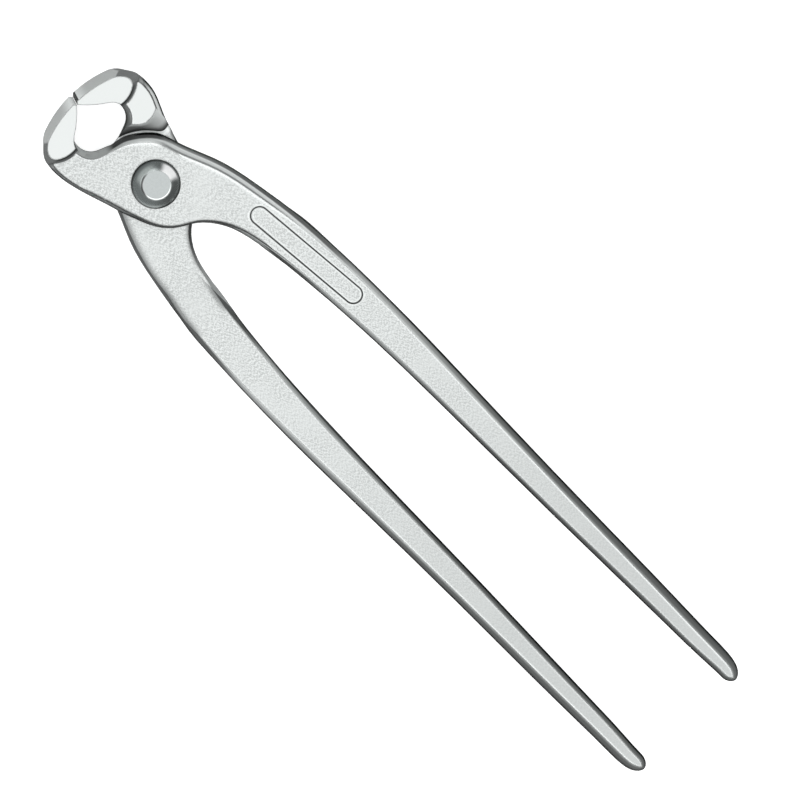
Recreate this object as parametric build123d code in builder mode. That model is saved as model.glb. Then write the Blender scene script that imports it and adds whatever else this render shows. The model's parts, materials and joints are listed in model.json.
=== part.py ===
from build123d import *
import math
import os

# Rebar tying pliers: two drop-forged levers that cross on one rivet.
# X runs along the tool with the handle ends at +X, Y runs across it, and Z is
# the axis of the rivet. The origin is below the middle of the tool.
# Outlines are drawn about the rivet, half of the tool above the joint plane.

# Driving sizes of the whole tool
overall_length = 250.0
jaw_reach = 32.9
head_width = 36.4
handle_spread = 47.8
jaw_thickness = 18.0
plate_thickness = 5.5
handle_thickness = 8.8
handle_end_thickness = 8.2

# Clearances
overrun = 40.0
plate_gap = 0.1
edge_gap = 0.16
turning_clearance = 0.05

# Forged edges: the wall leans in a little, then the edge is bevelled
wall_height = 2.5
wall_draft = 0.35
bevel_height = 4.7
forged_bevel = 2.3

# Bevel along the edge of the joint face and of the ramp that leaves it
joint_bevel = 1.0
joint_bevel_height = 0.9
joint_bevel_start = -5.5
joint_bevel_most = 2.0

# Joint recess in the other half of each lever
ramp_start = 16.2
ramp_end = 46.0
face_fall_start = 22.0
face_fall_end = 62.0

# Ground jaw tips
grind_radius = 35.0
edge_bevel = 0.85
edge_bevel_depth = 0.8

# Rivet
rivet_diameter = 9.0
rivet_head_diameter = 14.0
rivet_flat_diameter = 8.2
rivet_head_height = 2.7
rivet_head_rim = 0.5
rivet_crown_diameter = 10.5
rivet_crown_height = 2.03

# Bare marking field on the outer face of the front handle
field_start = 27.05
field_length = 34.9
field_tilt = 5.2
field_centre_height = 14.5
field_width = 5.1
field_depth = 0.35

# Worked out from the sizes above
half_length = overall_length / 2
handle_reach = overall_length - jaw_reach
head_half = head_width / 2
spread_half = handle_spread / 2
jaw_half = jaw_thickness / 2
handle_half = handle_thickness / 2
handle_end_half = handle_end_thickness / 2
handle_fall = (handle_half - handle_end_half) / handle_reach
pivot_x = jaw_reach - half_length
joint = Plane(origin=(pivot_x, 0, jaw_half))
side = Plane(origin=(pivot_x, 0, jaw_half), x_dir=(1, 0, 0), z_dir=(0, -1, 0))
tool_axis = Axis(joint.origin, (1, 0, 0))
field_place = Location(
    (field_start + field_length / 2,
     field_centre_height + math.sin(math.radians(field_tilt)) * field_length / 2, 0),
    (0, 0, field_tilt),
)

# Lever outline from the jaw round the handle and back to the eye of the jaws.
# Head points are shares of the jaw reach and of half the head width, handle
# points are shares of the handle reach and of half the handle spread. The last
# two of each row say how far the edge stands back at the bevel height and at the
# face of the joint plate, in shares of the forged bevel.
front_underside_shares = [
    (-0.745, -0.99, 0.42, 0.5), (-0.669, -1.0, 0.42, 0.5), (-0.562, -0.985, 0.42, 0.5),
    (-0.41, -0.923, 0.42, 0.5), (-0.289, -0.857, 0.42, 0.5), (-0.152, -0.775, 0.42, 0.5),
    (0.0, -0.692, 0.42, 0.5), (0.122, -0.61, 0.38, 0.44), (0.243, -0.516, 0.32, 0.38),
    (0.355, -0.38, 0.3, 0.36), (0.432, -0.217, 0.3, 0.36), (0.492, -0.03, 0.32, 0.38),
    (0.6, 0.178, 0.36, 0.42), (0.737, 0.33, 0.42, 0.48),
]
rear_underside_shares = [
    (-0.745, -0.99, 0.42, 0.5), (-0.669, -1.0, 0.42, 0.5), (-0.562, -0.979, 0.5, 0.58),
    (-0.426, -0.886, 0.55, 0.64), (-0.304, -0.797, 0.5, 0.6), (-0.182, -0.727, 0.42, 0.5),
    (-0.06, -0.667, 0.4, 0.46), (0.122, -0.6, 0.42, 0.5), (0.243, -0.512, 0.42, 0.5),
    (0.355, -0.372, 0.42, 0.5), (0.427, -0.207, 0.42, 0.5), (0.474, -0.015, 0.42, 0.5),
    (0.584, 0.212, 0.42, 0.5), (0.73, 0.355, 0.43, 0.5),
]
inner_grip_shares = [
    (0.145, 0.341, 0.5, 0.55), (0.212, 0.429, 0.6, 0.62), (0.322, 0.512, 0.7, 0.7),
    (0.507, 0.561, 0.72, 0.72), (0.691, 0.585, 0.74, 0.74), (0.875, 0.623, 0.76, 0.76),
    (0.95, 0.643, 0.76, 0.76), (0.978, 0.654, 0.76, 0.76),
]
handle_end_shares = [
    (0.994, 0.678, 0.76, 0.76), (1.0, 0.749, 0.78, 0.78), (0.995, 0.836, 0.9, 0.9),
    (0.984, 0.889, 1.06, 1.06), (0.971, 0.909, 1.16, 1.16),
]
outer_grip_shares = [
    (0.945, 0.915, 1.2, 1.2), (0.875, 0.926, 1.2, 1.2), (0.691, 0.944, 1.12, 1.12),
    (0.507, 0.975, 1.02, 1.02), (0.359, 1.0, 0.92, 0.92), (0.212, 0.97, 0.78, 1.0),
    (0.157, 0.926, 0.66, 1.0), (0.101, 0.847, 0.56, 1.0), (0.037, 0.711, 0.52, 1.0),
]
topside_shares = [
    (0.0, 0.753, 0.48, 1.0), (-0.11, 0.68, 0.48, 1.0), (-0.231, 0.604, 0.48, 0.95),
    (-0.35, 0.445, 0.46, 0.9), (-0.43, 0.26, 0.44, 0.85), (-0.469, 0.11, 0.4, 0.75),
]
eye_shares = [
    (-0.486, -0.066, 0.3, 0.5), (-0.515, -0.22, 0.4, 0.5), (-0.549, -0.346, 0.52, 0.58),
    (-0.599, -0.423, 0.56, 0.62), (-0.66, -0.456, 0.56, 0.62), (-0.742, -0.434, 0.5, 0.56),
]

# Wall of the joint recess across the jaw arm, from its outer side to the eye,
# at the joint face and at the face of the arm, in shares of the jaw reach and
# of half the head width
recess_foot_shares = [
    (-0.29, -0.96), (-0.268, -0.79), (-0.26, -0.645), (-0.308, -0.552), (-0.391, -0.41),
    (-0.437, -0.286), (-0.479, -0.121), (-0.488, 0.11),
]
recess_top_shares = [
    (-0.55, -1.08), (-0.482, -0.885), (-0.434, -0.676), (-0.445, -0.538), (-0.48, -0.44),
    (-0.53, -0.36), (-0.59, -0.17), (-0.61, 0.11),
]

# Jaw tip: points of the cutting block at the parting line and at its ground side
corner_root_shares = [(-0.848, -0.907), (-0.772, -0.983), (-0.669, -0.934)]
corner_side_shares = [(-0.881, -0.802), (-0.824, -0.857), (-0.763, -0.819)]
foot_root_shares = [(-0.617, -0.747), (-0.602, -0.495)]
foot_side_shares = [(-0.726, -0.692), (-0.717, -0.484)]
eye_root_shares = [(-0.718, -0.462), (-0.79, -0.392), (-0.841, -0.29), (-0.888, -0.165)]
eye_side_shares = [(-0.742, -0.466), (-0.775, -0.42), (-0.833, -0.28), (-0.888, -0.159)]
crease_root = 13.8
crease_side = 12.3


def about_head(shares):
    return [Vector(row[0] * jaw_reach, row[1] * head_half) for row in shares]


def about_handle(shares):
    return [Vector(row[0] * handle_reach, row[1] * spread_half) for row in shares]


def drawn_in(outline, amounts):
    """The outline with each point moved towards the metal by its own amount."""
    parting_line = Spline(*outline)
    points = []
    for point, amount in zip(outline, amounts):
        along = parting_line.tangent_at(point)
        points.append(point + Vector(-along.Y, along.X) * amount)
    return points


def face_line(depth):
    """Side view of the outer face of the handle, this far below the face."""
    return Spline(
        (face_fall_start, plate_thickness - depth), (face_fall_end, handle_half - depth),
        (handle_reach + overrun, handle_end_half - depth),
        tangents=[(1, 0), (1, -handle_fall), (1, -handle_fall)],
    )


def under_line():
    """Side view of the inner side, from the joint face down to the other face."""
    return Spline(
        (ramp_start, plate_gap / 2), (ramp_end, -handle_half),
        (handle_reach + overrun, -handle_end_half),
        tangents=[(1, 0), (1, handle_fall), (1, handle_fall)],
    )


def ramp_depth(x):
    """About how far under the joint plane the ramp lies here."""
    share = min(max((x - ramp_start) / (ramp_end - ramp_start), 0), 1)
    return handle_half * share**2 * (3 - 2 * share)


def under_edges(outline, amounts, depth):
    """How far each point stands back this deep: the joint bevel follows the ramp."""
    stand_backs = []
    for point, amount in zip(outline, amounts):
        if joint_bevel_start < point.X < ramp_end:
            bevels_deep = 1 + (depth - ramp_depth(point.X)) / joint_bevel_height
            amount = max(amount, min(joint_bevel * bevels_deep, joint_bevel_most))
        stand_backs.append(amount)
    return stand_backs


def forging(underside_shares):
    """One forging blank, whose joint plate lies above the joint plane."""
    rows = (
        underside_shares + inner_grip_shares + handle_end_shares + outer_grip_shares
        + topside_shares + eye_shares
    )
    outline = (
        about_head(underside_shares)
        + about_handle(inner_grip_shares + handle_end_shares + outer_grip_shares)
        + about_head(topside_shares + eye_shares)
    )
    edges = [
        (plate_thickness, [row[3] * forged_bevel for row in rows]),
        (bevel_height, [row[2] * forged_bevel for row in rows]),
        (wall_height, [wall_draft for row in rows]),
        (joint_bevel_height, [0 for row in rows]),
    ]
    levels = list(edges)
    for depth, amounts in [(0, [0 for row in rows])] + edges[::-1]:
        levels.append((-depth, under_edges(outline, amounts, depth)))
    with BuildPart() as blank:
        for height, amounts in levels:
            points = drawn_in(outline, amounts)
            with BuildSketch(joint.offset(height)):
                with BuildLine():
                    Spline(*points)
                    Line(points[-1], points[0])
                make_face()
        loft(ruled=True)

        # The faces of the handle fall away from the thick joint plate
        with BuildSketch(side):
            with BuildLine():
                top = face_line(0)
                Polyline(
                    top @ 1, (handle_reach + overrun, overrun), (face_fall_start, overrun),
                    top @ 0,
                )
            make_face()
        extrude(amount=overrun, both=True, mode=Mode.SUBTRACT)

        # Under the plate the handle swells out of the joint face
        with BuildSketch(side):
            with BuildLine():
                under = under_line()
                Polyline(
                    under @ 1, (handle_reach + overrun, -overrun), (0, -overrun),
                    (0, plate_gap / 2), under @ 0,
                )
            make_face()
        extrude(amount=overrun, both=True, mode=Mode.SUBTRACT)
    return blank.part


recess_foot = about_head(recess_foot_shares)
recess_top = about_head(recess_top_shares)
recess_levels = [
    (plate_gap / 2, recess_foot),
    (-plate_thickness, recess_top),
    (-plate_thickness * 2, [top * 2 - foot for foot, top in zip(recess_foot, recess_top)]),
]


def grind_x(y):
    """Where the ground end face lies at this distance from the middle line."""
    return grind_radius - jaw_reach - math.sqrt(grind_radius**2 - y**2)


def jaw_tip_outline(corner, foot, eye, crease):
    """One level of the cutting block: end face, corner, foot, eye and edge."""
    tip = Vector(grind_x(edge_bevel), -edge_bevel)
    edge = Vector(edge_bevel_depth - jaw_reach, -edge_gap / 2)
    middle = Vector(grind_x(crease / 2), -crease / 2)
    end = Vector(grind_x(crease), -crease)
    corner_points = about_head(corner)
    foot_points = about_head(foot)
    return [
        ThreePointArc(tip, middle, end),
        Spline(end, *corner_points),
        Spline(corner_points[-1], *foot_points),
        Spline(foot_points[-1], *about_head(eye), edge),
        Line(edge, tip),
    ]


jaw_root_outline = jaw_tip_outline(
    corner_root_shares, foot_root_shares, eye_root_shares, crease_root
)
jaw_side_outline = jaw_tip_outline(
    corner_side_shares, foot_side_shares, eye_side_shares, crease_side
)

# Recess in the jaw arm that the other lever's plate turns in
with BuildPart() as recess:
    for height, points in recess_levels:
        with BuildSketch(joint.offset(height)):
            with BuildLine():
                wall = Spline(*points)
                Polyline(
                    wall @ 1, (points[-1].X, head_width), (ramp_start, head_width),
                    (ramp_start, -head_width), (points[0].X, -head_width), wall @ 0,
                )
            make_face()
    loft(ruled=True)

# The cutting block, thicker than the arm that carries it
with BuildPart() as jaw_tip:
    for height, edges in ((0, jaw_root_outline), (jaw_half, jaw_side_outline)):
        with BuildSketch(joint.offset(height)):
            with BuildLine():
                add(edges)
            make_face()
    loft(ruled=True)
    mirror(about=joint)

# Shallow bare field, whose floor follows the face of the handle
with BuildPart() as marking_field:
    with BuildSketch(side):
        with BuildLine():
            floor_line = face_line(field_depth)
            Polyline(
                floor_line @ 1, (handle_reach + overrun, overrun), (face_fall_start, overrun),
                floor_line @ 0,
            )
        make_face()
    extrude(amount=overrun, both=True)
    with BuildSketch(joint):
        with Locations(field_place):
            SlotCenterToCenter(field_length, field_width)
    extrude(amount=overrun, mode=Mode.INTERSECT)

# Front lever: turns on the rivet and carries the bare marking field
with BuildPart() as front_lever:
    add(forging(front_underside_shares))
    add(recess.part, mode=Mode.SUBTRACT)
    add(jaw_tip.part)
    with Locations(joint):
        Cylinder(rivet_diameter / 2 + turning_clearance, overrun, mode=Mode.SUBTRACT)
    add(marking_field.part, mode=Mode.SUBTRACT)

# Rear lever: the same shape turned over, slimmer at the neck, tight on the rivet
with BuildPart() as rear_lever:
    add(forging(rear_underside_shares).rotate(tool_axis, 180))
    add(recess.part.rotate(tool_axis, 180), mode=Mode.SUBTRACT)
    add(jaw_tip.part.rotate(tool_axis, 180))
    with Locations(joint):
        Cylinder(rivet_diameter / 2, overrun, mode=Mode.SUBTRACT)

# Rivet with a flat-topped round head on both faces
with BuildPart() as rivet:
    with BuildSketch(side):
        with BuildLine():
            seat = plate_thickness + turning_clearance
            shank = Polyline(
                (rivet_diameter / 2, 0), (rivet_diameter / 2, seat),
                (rivet_head_diameter / 2, seat),
                (rivet_head_diameter / 2, seat + rivet_head_rim),
            )
            crown = ThreePointArc(
                shank @ 1,
                (rivet_crown_diameter / 2, seat + rivet_crown_height),
                (rivet_flat_diameter / 2, seat + rivet_head_height),
            )
            Polyline(crown @ 1, (0, seat + rivet_head_height), (0, 0), shank @ 0)
        make_face()
    revolve(axis=Axis(joint.origin, (0, 0, 1)))
    mirror(about=joint)

os.makedirs("parts", exist_ok=True)
front_lever.part.label = "front_lever"
export_step(front_lever.part, "parts/front_lever.step")
rear_lever.part.label = "rear_lever"
export_step(rear_lever.part, "parts/rear_lever.step")
rivet.part.label = "rivet"
export_step(rivet.part, "parts/rivet.step")
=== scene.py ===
import json

import bpy
from mathutils import Matrix, Vector

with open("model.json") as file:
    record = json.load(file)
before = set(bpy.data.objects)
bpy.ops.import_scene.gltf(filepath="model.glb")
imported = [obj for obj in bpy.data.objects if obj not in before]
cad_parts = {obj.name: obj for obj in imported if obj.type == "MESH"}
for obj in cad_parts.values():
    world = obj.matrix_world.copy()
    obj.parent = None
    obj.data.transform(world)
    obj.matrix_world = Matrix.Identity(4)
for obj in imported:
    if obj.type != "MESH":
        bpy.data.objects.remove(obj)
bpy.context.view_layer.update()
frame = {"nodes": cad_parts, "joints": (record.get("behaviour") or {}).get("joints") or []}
scene = bpy.context.scene
scene.view_settings.view_transform = "Standard"

# Camera: looks down on the tool, tilted a little towards the jaw tips, with
# the jaws at the top left of the picture and the handle ends at the bottom right
PIVOT = Vector(frame["joints"][0]["pos_m"])
LOOK_AT = PIVOT + Vector((0.09325, 0.00598, 0.0))
TOWARDS_CAMERA = Vector((-0.155, 0.0414, 0.987)).normalized()
PICTURE_RIGHT = Vector((0.6939, 0.7157, 0.079)).normalized()
FRAME_WIDTH = 0.225
CAMERA_DISTANCE = 9.0
CAMERA_CLIP = (0.1, 20.0)
SENSOR_WIDTH_MM = 36.0

# The floor is a light table, so the tool stands on near-white without a shadow
FLOOR_SIZE = 6.0
FLOOR_HEIGHT = -0.0002
FLOOR_COLOUR = (0.95, 0.95, 0.95, 1.0)
FLOOR_ROUGHNESS = 0.9
FLOOR_GLOW = 0.6

# One wide soft light overhead, in a pale grey room
LIGHT_PLACE = Vector((0.05, 0.0, 1.1))
LIGHT_AIM = Vector((0.0, 0.0, 0.0))
LIGHT_WIDTH = 2.4
LIGHT_POWER = 21.5
ROOM_COLOUR = (0.34, 0.35, 0.35, 1.0)
WHITE = (1.0, 1.0, 1.0, 1.0)

# The jaws' end faces are ground to one arc
GRIND_RADIUS = 0.035
JAW_TIPS_ALONG = -0.0329
GRIND_CENTRE_X = PIVOT.x + JAW_TIPS_ALONG + GRIND_RADIUS

# How far the shading rounds the edges over, which also sets how wide the painted edge
# highlights and painted edge shade are
JAW_EDGE_RADIUS, PLATE_EDGE_RADIUS, HANDLE_EDGE_RADIUS = 0.0007, 0.0018, 0.0009
NECK_SHADE_RADIUS = 0.0032
BEVEL_SAMPLES = 8

# The long field on the front lever, from the rivet
FIELD_START = Vector((0.02705, 0.0145))
FIELD_END = Vector((0.06181, 0.01766))
FIELD_HALF_WIDTH = 0.00255

# In the next classes a pair is a reach: where a change starts and where it is
# complete. Lengths are in metres


class Along:
    """Reaches and places along the tool, from the rivet towards the handles."""

    CUTTING_EDGE = -0.0315
    END_FACES = -0.02
    JAW_WALL_SHADE_TONE = (-0.0255, -0.0240)
    JAW_WALL = (-0.0245, -0.0225)
    EYE_CENTRE = -0.0225
    EYE = (-0.0215, -0.0205)
    BESIDE_ARM = (-0.0085, -0.0035)
    RECESS_START = -0.0195
    RECESS = (-0.0105, -0.005)
    JAW_TO_PLATE = (-0.014, -0.010)
    ARM = (-0.0125, -0.0105)
    ARM_RIM_LIGHT = (-0.012, -0.01)
    CHANNEL = (-0.0085, -0.0065)
    PLATE = (-0.008, -0.006)
    BEVEL_SHADE_TONE = (0.018, 0.032)
    PLATE_TO_HANDLE = (0.02, 0.05)
    INNER_NECK = (0.022, 0.03)
    INNER_WALL = (0.024, 0.032)
    NECK = (0.034, 0.046)
    BEVEL = (0.046, 0.06)
    UPRIGHT_SHADE_TONE = (0.05, 0.1)
    INNER_WALL_TAIL = (0.06, 0.09)
    MIDDLE_SHADE_TONE = (0.06, 0.13)
    HANDLE_TONE = (0.06, 0.19)
    UPPER_LIGHT_TONE = (0.09, 0.17)


class Across:
    """Reaches and places across the tool, positive on the lever's handle side."""

    FAR_RECESS_LIGHT = (-0.0125, -0.0075)
    BESIDE_ARM = (-0.0038, -0.0008)
    INNER_SIDE = 0.0095
    PLATE_SIDE = 0.0105


class Off:
    """Reaches away from a centre or a line, the same on both sides of it."""

    JAW_MIDDLE = (0.0005, 0.0055)
    EYE_CENTRE = (0.0088, 0.0118)
    GRIND_CENTRE = (GRIND_RADIUS - 0.0002, GRIND_RADIUS - 0.0001)
    FIELD_SHADE_LINE = (0.00015, 0.00032)
    FIELD_HIGHLIGHT_LINE = (0.0005, 0.0008)


class Level:
    """Reaches and places up or down from the joint plane."""

    ARM_HALF = -0.001
    RECESS_FOOT_SHADE = (0.0, 0.0034)
    FAR_RECESS_LIGHT = (0.0, 0.002)
    CHANNEL = (0.0002, 0.0006)
    EYE_SHADE_TONE = (0.001, 0.004)
    MIDDLE_WALL_SHADE = (0.0022, 0.0032)
    ARM_RIM_LIGHT = (0.0026, 0.0036)
    RECESS_TOP_LIGHT = (0.0032, 0.0048)
    UPPER_WALL_LIGHT = (0.0034, 0.0044)
    JOINT_EDGE_SHADE = (0.0036, 0.0043)
    JOINT_BEVEL = (0.0036, 0.0044)
    ARM_SHADE = (0.0039, 0.0051)
    PLATE_FACE = (0.0045, 0.005)
    RIM_LINE_SHADE = (0.0048, 0.0052)
    WALL_LINE_SHADE = (0.0050, 0.0053)
    RECESS = (0.0054, 0.0056)
    JAW_WALL = (0.0055, 0.0057)
    JAW_WALL_SHADE_TONE = (0.0056, 0.0084)
    JAW_SIDE = (0.0086, 0.0089)


class Facing:
    """Reaches of facing_up: 1 on the flats and 0 on upright walls."""

    UPRIGHT = (0.22, 0.34)
    BEVEL = (0.25, 0.4)
    RECESS = (0.36, 0.44)
    BARE = (0.85, 0.95)
    FLAT = (0.9, 0.96)


class Turn:
    """Reaches of edge_turn: 1 away from edges, and less the nearer the edge is. They place
    the painted highlights and painted shade along edges.
    """

    EDGE_SHADE = (0.93, 0.955)
    EDGE_HIGHLIGHT_OUTSIDE = (0.958, 0.972)
    EDGE_HIGHLIGHT_INSIDE = (0.985, 0.998)
    WIDE_EDGE_SHADE = (0.968, 0.992)
    STRIP_SHADE_TONE = (0.976, 0.988)
    STRIP_SHADE = (0.991, 0.997)
    JOINT_EDGE_SHADE_TONE = (0.978, 0.99)
    JOINT_EDGE_SHADE = (0.992, 0.998)


class Grey:
    """Levels of grey: the steel's own greys, and the painted shade and painted highlights
    on its walls, edges and ground faces. A pair is a tone from its first to its second.
    """

    GRAIN = (0.385, 0.61)
    PATCHES = 0.56
    HANDLE = 0.425
    ARM = 0.6
    EDGE_HIGHLIGHT = 0.95
    EDGE_SHADE = 0.2
    WIDE_EDGE_SHADE = 0.1
    JOINT_EDGE_SHADE = (0.27, 0.15)
    STRIP_SHADE = (0.28, 0.09)
    FIELD_HIGHLIGHT = 0.68
    FIELD_SHADE = 0.07
    CHANNEL = 0.85
    PARTING_SHADE = (0.03, 0.2)
    MIDDLE_WALL_SHADE = (0.34, 0.13)
    UPPER_WALL_LIGHT = (0.62, 0.38)
    WALL_LINE_SHADE = 0.22
    ARM_RIM_LIGHT = 0.62
    JAW_WALL = (0.22, 0.05)
    EYE_WALL_SHADE = (0.12, 0.3)
    PLATE_EYE_WALL_LIGHT = 0.6
    RIM_LINE_SHADE = 0.3
    ARM_SHADE = 0.13
    OUTER_BEVEL_SHADE = 0.12
    INNER_BEVEL_SHADE = (0.07, 0.36)
    UPRIGHT = (0.24, 0.1)
    RECESS = (0.06, 0.22)
    RECESS_TOP_LIGHT = 0.7
    FAR_RECESS_LIGHT = 0.55
    END_FACE_SHADE = (0.9, 0.57)
    JAW_SIDE = 0.585
    GLANCING = 0.0


class Grain:
    """The forged grain: fine grit, drawn-out streaks with painted light on one side of
    each, and broad patches.
    """

    FINE_SCALE, FINE_ROUGHNESS, FINE_SHARE = 2400.0, 0.6, 0.35
    STREAK_SCALE, STREAK_DETAIL, STREAK_SHARE = 1200.0, 3.0, 0.65
    STREAK_STRETCH = (1.0, 2.6, 1.0)
    STREAK_TURN = 0.75
    RELIEF_LIGHT_SHIFT = (0.0002, 0.0001, 0.0)
    RELIEF_AND_LIGHT = 0.9
    MEAN, CONTRAST = 0.5, 0.55
    TONE = (0.38, 0.60)
    PATCH_SCALE = 110.0
    PATCH_TONE, PATCH_SHARE = (0.4, 0.75), 0.5
    BUMP_STRENGTH, BUMP_HEIGHT = 0.65, 0.00008


class Steel:
    """Shares that blend one area into another, and the shader's own values."""

    HANDLE_SHARE = 0.8
    EDGE_HIGHLIGHT_SHARE = 0.9
    FIELD_HIGHLIGHT_SHARE = 0.6
    ARM_EDGE_SHADE = 0.4
    INNER_UPRIGHT = 0.15
    CHANNEL_DULLNESS = 0.8
    ARM_SMOOTHNESS = 0.8
    WALL_METAL = 0.35
    SPECULAR = 0.5
    ROUGHNESS = (0.34, 0.24)


class Rivet:
    """The rivet's rings by radius, then its fans of painted highlight, then its colours.

    The directions are those of the main picture, and a turn is a reach along one.
    """

    RING_INSIDE = (0.0038, 0.0039)
    CROWN = (0.00405, 0.0042)
    RING_OUTSIDE = (0.0043, 0.0044)
    SOFT_HIGHLIGHT_FAN = (0.0052, 0.0062)
    HIGHLIGHT_FAN = (0.0060, 0.0068)
    RIM_SHADE_REACH = (0.0062, 0.0069)
    RIGHT = (0.69, 0.72)
    DOWN = (0.6, -0.8)
    SIDE_SHADE_TURN = (-0.3, 0.7)
    SOFT_HIGHLIGHT_TURN = (-0.99, -0.7)
    HIGHLIGHT_TURN = (0.8, 0.985)
    SHADE_TURN = (-0.9, -0.5)
    GLINT_REACH = (-0.002, 0.002)
    TOP = ((0.35, 0.372, 0.37, 1.0), (0.40, 0.422, 0.42, 1.0))
    SIDE_SHADE = ((0.36, 0.39, 0.385, 1.0), (0.2, 0.213, 0.21, 1.0))
    SOFT_HIGHLIGHT = (0.86, 0.92, 0.9, 1.0)
    RIM_SHADE = (0.07, 0.076, 0.073, 1.0)
    GLINT, SHADE = 0.9, 0.12
    HIGHLIGHT_METAL = 0.25
    ROUGHNESS = 0.22
    GRIT_SCALE = 1500.0
    BUMP_STRENGTH, BUMP_HEIGHT = 0.1, 0.00003


def grey(level):
    """A steel grey, a shade greener than neutral."""
    return (level * 0.97, level, level * 0.99, 1.0)


class Nodes:
    """Adds shader nodes to one material and joins them up."""

    def __init__(self, name):
        self.material = bpy.data.materials.new(name)
        self.material.use_nodes = True
        self.tree = self.material.node_tree
        self.shader = self.tree.nodes["Principled BSDF"]
        self.place = self.tree.nodes.new("ShaderNodeTexCoord").outputs["Object"]

    def feed(self, socket, value):
        if isinstance(value, bpy.types.NodeSocket):
            self.tree.links.new(value, socket)
        else:
            socket.default_value = value

    def shade(self, name, value):
        self.feed(self.shader.inputs[name], value)

    # Numbers

    def math(self, operation, first, second=0.0):
        node = self.tree.nodes.new("ShaderNodeMath")
        node.operation = operation
        self.feed(node.inputs[0], first)
        self.feed(node.inputs[1], second)
        return node.outputs[0]

    def add(self, first, second):
        return self.math("ADD", first, second)

    def minus(self, first, second):
        return self.math("SUBTRACT", first, second)

    def size(self, value):
        return self.math("ABSOLUTE", value)

    def length(self, x, y):
        squares = self.add(self.math("POWER", x, 2.0), self.math("POWER", y, 2.0))
        return self.math("SQRT", squares)

    # Areas: one inside, nought outside

    def both(self, first, second):
        return self.math("MULTIPLY", first, second)

    def either(self, first, second):
        return self.math("MAXIMUM", first, second)

    def without(self, area, other):
        return self.both(area, self.minus(1.0, other))

    def below(self, value, limit):
        return self.math("LESS_THAN", value, limit)

    def above(self, value, limit):
        return self.math("GREATER_THAN", value, limit)

    def rise(self, value, reach, before=0.0, after=1.0):
        """Goes smoothly from before to after where the value crosses the reach."""
        node = self.tree.nodes.new("ShaderNodeMapRange")
        node.interpolation_type = "SMOOTHSTEP"
        self.feed(node.inputs["Value"], value)
        sockets = ("From Min", "From Max", "To Min", "To Max")
        for socket, number in zip(sockets, (*reach, before, after)):
            self.feed(node.inputs[socket], number)
        return node.outputs["Result"]

    def fall(self, value, reach, before=1.0, after=0.0):
        return self.rise(value, reach, before, after)

    def fade(self, share, before, after):
        """Turns a share between nought and one into a number between two others."""
        return self.rise(share, (0.0, 1.0), before, after)

    # Colours

    def mix(self, share, first, second):
        node = self.tree.nodes.new("ShaderNodeMix")
        node.data_type = "RGBA"
        self.feed(node.inputs["Factor"], share)
        self.feed(node.inputs["A"], first)
        self.feed(node.inputs["B"], second)
        return node.outputs["Result"]

    def tone(self, share, levels):
        return self.mix(share, grey(levels[0]), grey(levels[1]))

    def paint(self, area, colour, level):
        return self.mix(area, colour, grey(level))

    # Textures and surfaces

    def split(self, vector):
        node = self.tree.nodes.new("ShaderNodeSeparateXYZ")
        self.feed(node.inputs[0], vector)
        return node.outputs

    def noise(
        self, scale, detail=2.0, roughness=0.5,
        stretch=(1.0, 1.0, 1.0), turn=0.0, shift=(0.0, 0.0, 0.0),
    ):
        mapping = self.tree.nodes.new("ShaderNodeMapping")
        self.feed(mapping.inputs["Vector"], self.place)
        mapping.inputs["Location"].default_value = shift
        mapping.inputs["Rotation"].default_value = (0.0, 0.0, turn)
        mapping.inputs["Scale"].default_value = stretch
        node = self.tree.nodes.new("ShaderNodeTexNoise")
        self.feed(node.inputs["Vector"], mapping.outputs["Vector"])
        node.inputs["Scale"].default_value = scale
        node.inputs["Detail"].default_value = detail
        node.inputs["Roughness"].default_value = roughness
        return node.outputs["Fac"]

    def bump(self, height, strength, distance):
        node = self.tree.nodes.new("ShaderNodeBump")
        self.feed(node.inputs["Height"], height)
        self.feed(node.inputs["Strength"], strength)
        self.feed(node.inputs["Distance"], distance)
        return node

    def rounded(self, radius):
        node = self.tree.nodes.new("ShaderNodeBevel")
        node.samples = BEVEL_SAMPLES
        self.feed(node.inputs["Radius"], radius)
        return node.outputs["Normal"]

    def edge_turn(self, radius):
        """How far the rounded surface still faces as the flat one does, near edges."""
        geometry = self.tree.nodes.new("ShaderNodeNewGeometry")
        dot = self.tree.nodes.new("ShaderNodeVectorMath")
        dot.operation = "DOT_PRODUCT"
        self.feed(dot.inputs[0], geometry.outputs["True Normal"])
        self.feed(dot.inputs[1], self.rounded(radius))
        return dot.outputs["Value"]

    def facing_up(self):
        """One on the flats that lie across the rivet, nought on upright walls."""
        geometry = self.tree.nodes.new("ShaderNodeNewGeometry")
        return self.size(self.split(geometry.outputs["Normal"])[2])

    def off_line(self, x, y, start, end):
        """Distance in the plane of the tool from the line between two points."""
        along = (end - start).normalized()
        dx = self.minus(x, PIVOT.x + start.x)
        dy = self.minus(y, start.y)
        t = self.add(self.both(dx, along.x), self.both(dy, along.y))
        t = self.math("MINIMUM", self.math("MAXIMUM", t, 0.0), (end - start).length)
        rest_x = self.minus(dx, self.both(t, along.x))
        rest_y = self.minus(dy, self.both(t, along.y))
        return self.length(rest_x, rest_y)


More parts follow.
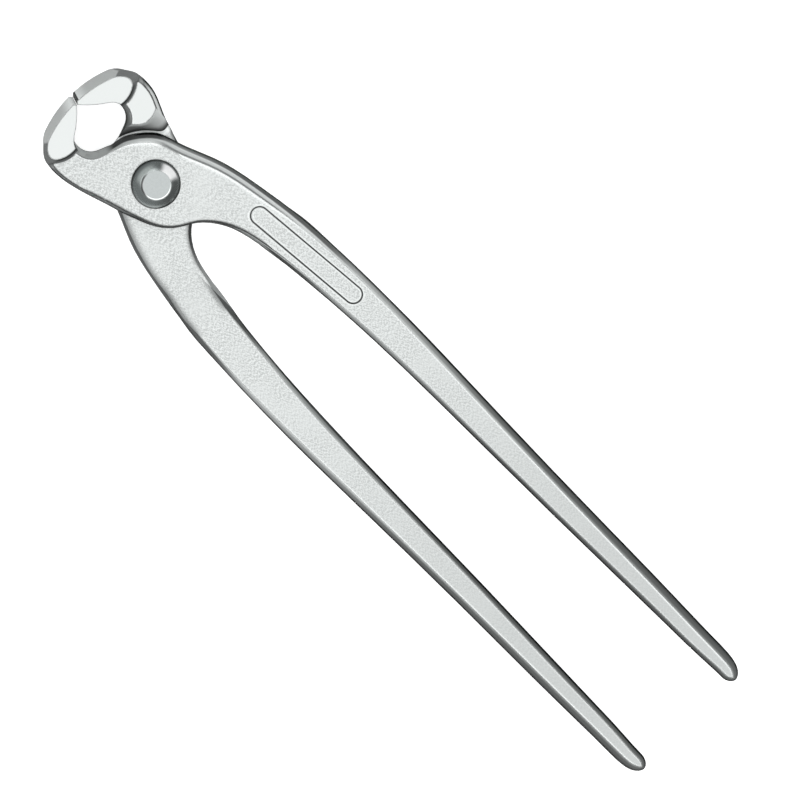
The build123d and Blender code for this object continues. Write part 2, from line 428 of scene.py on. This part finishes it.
class LeverSteel(Nodes):
    """Bright plated forging: grainy flats, smooth ground jaw faces, duller walls with
    painted shade, and painted highlights and shade along the edges.

    The side is 1 for the lever with its plate on top and -1 for the lever that
    is turned over, so that both look the same to someone who turns the tool.
    """

    def __init__(self, name, side, has_field, painted_edge_light, edge_width):
        super().__init__(name)
        self.has_field = has_field
        self.painted_edge_light = painted_edge_light
        self.edge_width = edge_width
        self.x, tool_y, z = self.split(self.place)
        self.y = self.both(tool_y, side)
        self.height = self.both(self.minus(z, PIVOT.z), side)
        self.along = self.minus(self.x, PIVOT.x)
        self.level = self.size(self.height)
        self.facing = self.facing_up()
        self.find_areas()
        self.find_ground_faces()
        self.find_edges()
        self.find_walls()
        # The grain carries the streaks' painted light and shade into the colour, as well
        # as into the bump
        grain = self.make_grain()
        # The walls' colour is painted shade and light; the flats carry painted edge
        # highlights and shade over their grain
        flats, walls = self.paint_flats(grain), self.paint_wall_shading()
        forged = self.mix(self.rise(self.facing, Facing.FLAT), walls, flats)
        self.shade("Base Color", self.mix(self.ground, forged, self.paint_ground_faces()))
        self.shade_surface()
        self.shade_relief(grain)

    def find_areas(self):
        """The lever's halves, its inner side, its jaw arm and the channel beside it."""
        self.plate_half = self.above(self.height, 0.0)
        self.arm_half = self.below(self.height, Level.ARM_HALF)
        self.inner_side = self.below(self.y, Across.INNER_SIDE)
        self.from_plate = self.rise(self.along, Along.PLATE)
        self.arm = self.both(self.fall(self.along, Along.ARM), self.arm_half)
        self.channel = self.both(
            self.fall(self.level, Level.CHANNEL), self.fall(self.along, Along.CHANNEL)
        )

    def find_ground_faces(self):
        """Jaw sides, end faces and the bevel of the cutting edge."""
        self.jaw_side = self.rise(self.level, Level.JAW_SIDE)
        radius = self.length(self.minus(self.x, GRIND_CENTRE_X), self.y)
        end_face = self.both(
            self.rise(radius, Off.GRIND_CENTRE), self.below(self.along, Along.END_FACES)
        )
        self.edge_face = self.both(
            self.below(self.size(self.y), self.edge_width),
            self.below(self.along, Along.CUTTING_EDGE),
        )
        self.ground = self.either(self.either(self.jaw_side, end_face), self.edge_face)

    def find_edges(self):
        """Edge radius, and the two areas by the joint where the edges get a different
        painted shade.
        """
        self.edge_radius = self.math(
            "MINIMUM",
            self.rise(
                self.along, Along.PLATE_TO_HANDLE, PLATE_EDGE_RADIUS, HANDLE_EDGE_RADIUS
            ),
            self.rise(self.along, Along.JAW_TO_PLATE, JAW_EDGE_RADIUS, PLATE_EDGE_RADIUS),
        )
        self.turn = self.edge_turn(self.edge_radius)
        near = self.both(self.from_plate, self.fall(self.along, Along.NECK))
        inner_neck = self.both(self.inner_side, self.rise(self.along, Along.INNER_NECK))
        self.joint_side = self.without(
            self.both(near, self.fall(self.level, Level.JOINT_EDGE_SHADE)), inner_neck
        )
        low_side = self.either(
            self.both(near, self.below(self.y, Across.PLATE_SIDE)),
            self.both(
                self.below(self.y, -Across.PLATE_SIDE), self.fall(self.along, Along.PLATE)
            ),
        )
        self.plate_low = self.both(low_side, self.rise(self.level, Level.PLATE_FACE))

    def find_walls(self):
        """The walls that get painted shade of their own: inside the neck, at the jaw and
        eye.
        """
        inner_wall = self.both(self.inner_side, self.rise(self.along, Along.INNER_WALL))
        self.inner_wall = self.both(
            inner_wall, self.fall(self.along, Along.INNER_WALL_TAIL)
        )
        self.jaw_wall = self.either(
            self.rise(self.level, Level.JAW_WALL), self.fall(self.along, Along.JAW_WALL)
        )
        off_eye = self.length(self.minus(self.along, Along.EYE_CENTRE), self.y)
        self.eye_wall = self.both(
            self.fall(off_eye, Off.EYE_CENTRE), self.fall(self.level, Level.JAW_WALL)
        )
        upright = self.without(
            self.fall(self.facing, Facing.UPRIGHT),
            self.either(self.jaw_wall, self.eye_wall),
        )
        self.upright = self.both(
            upright, self.fade(self.inner_wall, 1.0, Steel.INNER_UPRIGHT)
        )

    def streaks(self, shift=(0.0, 0.0, 0.0)):
        return self.noise(
            Grain.STREAK_SCALE, detail=Grain.STREAK_DETAIL,
            stretch=Grain.STREAK_STRETCH, turn=Grain.STREAK_TURN, shift=shift,
        )

    def make_grain(self):
        """Fine grit and streaks, with painted light on one side of each streak and painted
        shade on the other, as if raised; the same values also shape the bump.
        """
        fine = self.noise(Grain.FINE_SCALE, roughness=Grain.FINE_ROUGHNESS)
        streak, beside = self.streaks(), self.streaks(Grain.RELIEF_LIGHT_SHIFT)
        relief = self.both(self.minus(streak, beside), Grain.RELIEF_AND_LIGHT)
        grain = self.add(
            self.both(fine, Grain.FINE_SHARE), self.both(streak, Grain.STREAK_SHARE)
        )
        grain = self.both(self.minus(grain, Grain.MEAN), Grain.CONTRAST)
        return self.add(self.add(grain, Grain.MEAN), relief)

    def paint_flats(self, grain):
        colour = self.tone(self.rise(grain, Grain.TONE), Grey.GRAIN)
        patches = self.rise(
            self.noise(Grain.PATCH_SCALE), Grain.PATCH_TONE, 0.0, Grain.PATCH_SHARE
        )
        colour = self.paint(patches, colour, Grey.PATCHES)
        handle = self.rise(self.along, Along.HANDLE_TONE, 0.0, Steel.HANDLE_SHARE)
        colour = self.paint(handle, colour, Grey.HANDLE)
        colour = self.paint(self.arm, colour, Grey.ARM)
        # Painted edge highlights and painted edge shade, and a wider band of painted shade
        # on the neck
        colour = self.paint_neck_shade(self.paint_edge_light_and_shade(colour))
        if self.has_field:
            colour = self.paint_field_light_and_shade(colour)
        return self.paint(self.channel, colour, Grey.CHANNEL)

    def paint_edge_light_and_shade(self, colour):
        """Painted highlight just inside each edge and painted shade at the edge, as on a
        rounded edge under the lamp; beside the joint, painted shade all through.
        """
        turn = self.turn
        # Painted highlight: a light line on the flat just inside each edge
        bright = self.both(
            self.rise(turn, Turn.EDGE_HIGHLIGHT_OUTSIDE),
            self.fall(turn, Turn.EDGE_HIGHLIGHT_INSIDE),
        )
        bright = self.without(bright, self.either(self.joint_side, self.plate_low))
        bright = self.both(bright, Steel.EDGE_HIGHLIGHT_SHARE)
        colour = self.paint(bright, colour, Grey.EDGE_HIGHLIGHT)
        # Painted shade: a dark line along each edge, fainter on the jaw arm
        dark = self.both(
            self.fall(turn, Turn.EDGE_SHADE), self.fade(self.arm, 1.0, Steel.ARM_EDGE_SHADE)
        )
        colour = self.paint(dark, colour, Grey.EDGE_SHADE)
        # Painted shade: a wider band along the plate's low edges
        wide = self.both(self.fall(turn, Turn.WIDE_EDGE_SHADE), self.plate_low)
        colour = self.paint(wide, colour, Grey.WIDE_EDGE_SHADE)
        # Painted shade: darker edges on the joint side, standing for a bevel's shading
        joint_edge_shade = self.both(self.fall(turn, Turn.JOINT_EDGE_SHADE), self.joint_side)
        joint_shade_tone = self.tone(self.rise(turn, Turn.JOINT_EDGE_SHADE_TONE), Grey.JOINT_EDGE_SHADE)
        return self.mix(joint_edge_shade, colour, joint_shade_tone)

    def paint_neck_shade(self, colour):
        """A wider band of painted shade along the outer edge of the neck."""
        wide_turn = self.edge_turn(NECK_SHADE_RADIUS)
        outer_neck = self.both(self.joint_side, self.above(self.y, Across.INNER_SIDE))
        strip = self.both(outer_neck, self.fall(wide_turn, Turn.STRIP_SHADE))
        strip_shade_tone = self.tone(self.rise(wide_turn, Turn.STRIP_SHADE_TONE), Grey.STRIP_SHADE)
        return self.mix(strip, colour, strip_shade_tone)

    def paint_field_light_and_shade(self, colour):
        """Painted shade as a thin outline of the long bare field, with a line of painted
        highlight beside it.
        """
        field = self.off_line(self.x, self.y, FIELD_START, FIELD_END)
        off_outline = self.size(self.minus(field, FIELD_HALF_WIDTH))
        # Painted highlight: the light line beside the outline
        light = self.both(
            self.fall(off_outline, Off.FIELD_HIGHLIGHT_LINE, before=Steel.FIELD_HIGHLIGHT_SHARE),
            self.plate_half,
        )
        # Painted shade: the thin outline itself
        dark = self.both(self.fall(off_outline, Off.FIELD_SHADE_LINE), self.plate_half)
        colour = self.paint(light, colour, Grey.FIELD_HIGHLIGHT)
        return self.paint(dark, colour, Grey.FIELD_SHADE)

    def paint_wall_shading(self):
        """Painted shade on the walls, darkest at the parting line, with painted light
        towards the face and a line of painted shade at the top.
        """
        along, level = self.along, self.level
        # Painted shade, darker down the wall and towards the handles, with painted light
        # near the face
        parting = self.tone(self.inner_wall, Grey.PARTING_SHADE)
        middle = self.tone(self.rise(along, Along.MIDDLE_SHADE_TONE), Grey.MIDDLE_WALL_SHADE)
        upper = self.tone(self.rise(along, Along.UPPER_LIGHT_TONE), Grey.UPPER_WALL_LIGHT)
        colour = self.mix(self.rise(level, Level.MIDDLE_WALL_SHADE), parting, middle)
        colour = self.mix(self.rise(level, Level.UPPER_WALL_LIGHT), colour, upper)
        colour = self.paint(self.rise(level, Level.WALL_LINE_SHADE), colour, Grey.WALL_LINE_SHADE)
        # Painted light on the upper part of the jaw arm's walls
        arm_rim_light = self.both(
            self.both(self.arm_half, self.fall(along, Along.ARM_RIM_LIGHT)),
            self.rise(level, Level.ARM_RIM_LIGHT),
        )
        colour = self.paint(arm_rim_light, colour, Grey.ARM_RIM_LIGHT)

        # Painted shade on the jaw's walls, darkest high up on the side towards the rivet
        jaw_top_shade = self.both(
            self.rise(along, Along.JAW_WALL_SHADE_TONE), self.rise(level, Level.JAW_WALL_SHADE_TONE)
        )
        colour = self.mix(self.jaw_wall, colour, self.tone(jaw_top_shade, Grey.JAW_WALL))
        colour = self.paint_joint_bevel_shade(self.paint_eye_wall_shading(colour))
        # Painted shade on the upright walls, darker towards the handles
        upright_shade_tone = self.tone(self.rise(along, Along.UPRIGHT_SHADE_TONE), Grey.UPRIGHT)
        return self.paint_recess_shading(self.mix(self.upright, colour, upright_shade_tone))

    def paint_eye_wall_shading(self, colour):
        """Painted shade on the wall round the eye, darkest deep down, with painted light
        on the plate half and lines of painted shade where the jaw arm passes it.
        """
        level = self.level
        eye_shade_tone = self.tone(self.rise(level, Level.EYE_SHADE_TONE), Grey.EYE_WALL_SHADE)
        colour = self.mix(self.eye_wall, colour, eye_shade_tone)
        colour = self.paint(
            self.both(self.eye_wall, self.plate_half), colour, Grey.PLATE_EYE_WALL_LIGHT
        )
        past_eye = self.rise(self.along, Along.EYE)
        beside_arm = self.both(
            self.both(self.plate_half, self.rise(self.y, Across.BESIDE_ARM)),
            self.both(past_eye, self.fall(self.along, Along.BESIDE_ARM)),
        )
        rim_line_shade = self.both(
            self.both(self.rise(level, Level.RIM_LINE_SHADE), past_eye), beside_arm
        )
        colour = self.paint(rim_line_shade, colour, Grey.RIM_LINE_SHADE)
        arm_shade = self.both(beside_arm, self.fall(level, Level.ARM_SHADE))
        return self.paint(arm_shade, colour, Grey.ARM_SHADE)

    def paint_joint_bevel_shade(self, colour):
        """Painted shade on the bevel of the joint face and of the ramp beside it, lighter
        on the inner side further along.
        """
        joint_bevel = self.both(
            self.rise(self.facing, Facing.BEVEL),
            self.both(self.from_plate, self.fall(self.along, Along.BEVEL)),
        )
        joint_bevel = self.both(joint_bevel, self.fall(self.level, Level.JOINT_BEVEL))
        inner_bevel_shade = self.tone(self.rise(self.along, Along.BEVEL_SHADE_TONE), Grey.INNER_BEVEL_SHADE)
        bevel_shade_tone = self.mix(self.inner_side, grey(Grey.OUTER_BEVEL_SHADE), inner_bevel_shade)
        return self.mix(joint_bevel, colour, bevel_shade_tone)

    def paint_recess_shading(self, colour):
        """Painted shade on the wall of the joint recess, darkest at the joint, with
        painted light at its top and on the far side.
        """
        recess = self.both(
            self.both(
                self.rise(self.facing, Facing.RECESS), self.fall(self.level, Level.RECESS)
            ),
            self.both(
                self.above(self.along, Along.RECESS_START),
                self.fall(self.along, Along.RECESS),
            ),
        )
        tone = self.tone(self.rise(self.level, Level.RECESS_FOOT_SHADE), Grey.RECESS)
        tone = self.paint(self.rise(self.level, Level.RECESS_TOP_LIGHT), tone, Grey.RECESS_TOP_LIGHT)
        far = self.both(
            self.fall(self.y, Across.FAR_RECESS_LIGHT), self.rise(self.level, Level.FAR_RECESS_LIGHT)
        )
        return self.mix(recess, colour, self.paint(far, tone, Grey.FAR_RECESS_LIGHT))

    def paint_ground_faces(self):
        """Painted shade: the end faces grow darker towards the corners of the jaws. The
        cutting edge's bevel gets a painted highlight on one lever and painted shade on the
        other.
        """
        off_middle = self.rise(self.size(self.y), Off.JAW_MIDDLE)
        colour = self.tone(off_middle, Grey.END_FACE_SHADE)
        colour = self.paint(self.edge_face, colour, self.painted_edge_light)
        return self.paint(self.jaw_side, colour, Grey.JAW_SIDE)

    def shade_surface(self):
        """Walls are duller than faces: less mirror and more scattered light.

        Upright ones are metal that mirrors little at a glancing angle.
        """
        bare = self.either(self.rise(self.facing, Facing.BARE), self.jaw_side)
        metal = self.without(bare, self.both(self.channel, Steel.CHANNEL_DULLNESS))
        metal = self.either(self.fade(metal, Steel.WALL_METAL, 1.0), self.upright)
        mirror = self.either(self.ground, self.upright)
        self.shade("Metallic", metal)
        self.shade("Specular IOR Level", self.fade(bare, 0.0, Steel.SPECULAR))
        self.shade("Specular Tint", self.mix(bare, grey(Grey.GLANCING), WHITE))
        self.shade("Roughness", self.fade(mirror, *Steel.ROUGHNESS))

    def shade_relief(self, grain):
        """The grain stands out on forged faces only, over rounded edges."""
        smooth = self.either(self.ground, self.both(self.arm, Steel.ARM_SMOOTHNESS))
        strength = self.both(self.minus(1.0, smooth), Grain.BUMP_STRENGTH)
        bump = self.bump(grain, strength, Grain.BUMP_HEIGHT)
        self.feed(bump.inputs["Normal"], self.rounded(self.edge_radius))
        self.shade("Normal", bump.outputs["Normal"])


class RivetSteel(Nodes):
    """Turned rivet: satin flat top, and a darker round crown; the crown and its ring carry
    painted highlights, a painted glint and painted shade.
    """

    def __init__(self, name):
        super().__init__(name)
        x, self.y, _ = self.split(self.place)
        self.across = self.minus(x, PIVOT.x)
        self.radius = self.length(self.across, self.y)
        self.crown = self.rise(self.radius, Rivet.CROWN)
        round_x = self.math("DIVIDE", self.across, self.radius)
        round_y = self.math("DIVIDE", self.y, self.radius)
        right = self.lean(round_x, round_y, Rivet.RIGHT)
        # Painted highlight: a fan of light on the crown
        bright = self.both(
            self.rise(round_y, Rivet.HIGHLIGHT_TURN), self.fall(self.radius, Rivet.HIGHLIGHT_FAN)
        )
        bright = self.both(bright, self.crown)
        grit = self.noise(Rivet.GRIT_SCALE)
        top = self.mix(grit, *Rivet.TOP)
        side = self.paint_side_shading(round_x, right, bright)
        colour = self.paint_ring_light_and_shade(self.mix(self.crown, top, side), right)
        self.shade("Base Color", colour)
        # The painted highlight is less metallic, so that its white colour shows
        self.shade("Metallic", self.fade(bright, 1.0, Rivet.HIGHLIGHT_METAL))
        self.shade("Roughness", Rivet.ROUGHNESS)
        bump = self.bump(grit, Rivet.BUMP_STRENGTH, Rivet.BUMP_HEIGHT)
        self.shade("Normal", bump.outputs["Normal"])

    def lean(self, x, y, direction):
        """How far the point lies out in the direction."""
        return self.add(self.both(x, direction[0]), self.both(y, direction[1]))

    def paint_side_shading(self, round_x, right, bright):
        """The crown's side, painted darker towards one side, with a soft and a strong fan
        of painted highlight and a rim of painted shade.
        """
        # Painted shade: the crown's side is darker in the RIGHT direction
        colour = self.mix(self.rise(right, Rivet.SIDE_SHADE_TURN), *Rivet.SIDE_SHADE)
        # Painted highlight: a soft fan of light on the crown's side
        soft = self.both(
            self.fall(round_x, Rivet.SOFT_HIGHLIGHT_TURN), self.fall(self.radius, Rivet.SOFT_HIGHLIGHT_FAN)
        )
        colour = self.mix(soft, colour, Rivet.SOFT_HIGHLIGHT)
        colour = self.mix(bright, colour, WHITE)
        # Painted shade: a dark rim at the crown's foot
        return self.mix(self.rise(self.radius, Rivet.RIM_SHADE_REACH), colour, Rivet.RIM_SHADE)

    def paint_ring_light_and_shade(self, colour, right):
        """The ring where the top ends, with a painted glint below and painted shade on the
        left.
        """
        ring = self.both(
            self.rise(self.radius, Rivet.RING_INSIDE),
            self.fall(self.radius, Rivet.RING_OUTSIDE),
        )
        down = self.lean(self.across, self.y, Rivet.DOWN)
        glint = self.both(ring, self.rise(down, Rivet.GLINT_REACH))
        colour = self.paint(glint, colour, Rivet.GLINT)
        shade = self.both(ring, self.fall(right, Rivet.SHADE_TURN))
        return self.paint(shade, colour, Rivet.SHADE)


def make_camera():
    data = bpy.data.cameras.new("camera")
    data.sensor_width = SENSOR_WIDTH_MM
    data.lens = SENSOR_WIDTH_MM * CAMERA_DISTANCE / FRAME_WIDTH
    data.clip_start, data.clip_end = CAMERA_CLIP
    camera = bpy.data.objects.new("camera", data)
    scene.collection.objects.link(camera)
    up = TOWARDS_CAMERA.cross(PICTURE_RIGHT).normalized()
    right = up.cross(TOWARDS_CAMERA)
    turn = Matrix((right, up, TOWARDS_CAMERA)).transposed()
    place = LOOK_AT + TOWARDS_CAMERA * CAMERA_DISTANCE
    camera.matrix_world = Matrix.Translation(place) @ turn.to_4x4()
    scene.camera = camera


def make_floor():
    bpy.ops.mesh.primitive_plane_add(size=FLOOR_SIZE, location=(0.0, 0.0, FLOOR_HEIGHT))
    floor = bpy.context.object
    floor.name = "floor"
    material = bpy.data.materials.new("pale_floor")
    material.use_nodes = True
    shader = material.node_tree.nodes["Principled BSDF"]
    shader.inputs["Base Color"].default_value = FLOOR_COLOUR
    shader.inputs["Roughness"].default_value = FLOOR_ROUGHNESS
    shader.inputs["Emission Color"].default_value = WHITE
    shader.inputs["Emission Strength"].default_value = FLOOR_GLOW
    floor.data.materials.append(material)


def make_light():
    data = bpy.data.lights.new("overhead", "AREA")
    data.shape = "RECTANGLE"
    data.size = data.size_y = LIGHT_WIDTH
    data.energy = LIGHT_POWER
    light = bpy.data.objects.new("overhead", data)
    light.location = LIGHT_PLACE
    light.rotation_mode = "QUATERNION"
    light.rotation_quaternion = (LIGHT_PLACE - LIGHT_AIM).to_track_quat("Z", "Y")
    scene.collection.objects.link(light)


def make_room():
    world = bpy.data.worlds.new("studio")
    world.use_nodes = True
    world.node_tree.nodes["Background"].inputs["Color"].default_value = ROOM_COLOUR
    scene.world = world


make_camera()
make_floor()
make_room()
make_light()

# The bevel of the cutting edge gets a painted highlight on the front lever and painted
# shade on the rear
skins = {
    "front_lever": LeverSteel(
        "plated_forging", side=1.0, has_field=True, painted_edge_light=0.9, edge_width=0.0008
    ),
    "rear_lever": LeverSteel(
        "plated_forging_turned", side=-1.0, has_field=False, painted_edge_light=0.09,
        edge_width=0.0014,
    ),
    "rivet": RivetSteel("rivet_steel"),
}
for name, node in frame["nodes"].items():
    node.data.materials.clear()
    node.data.materials.append(skins[name].material)
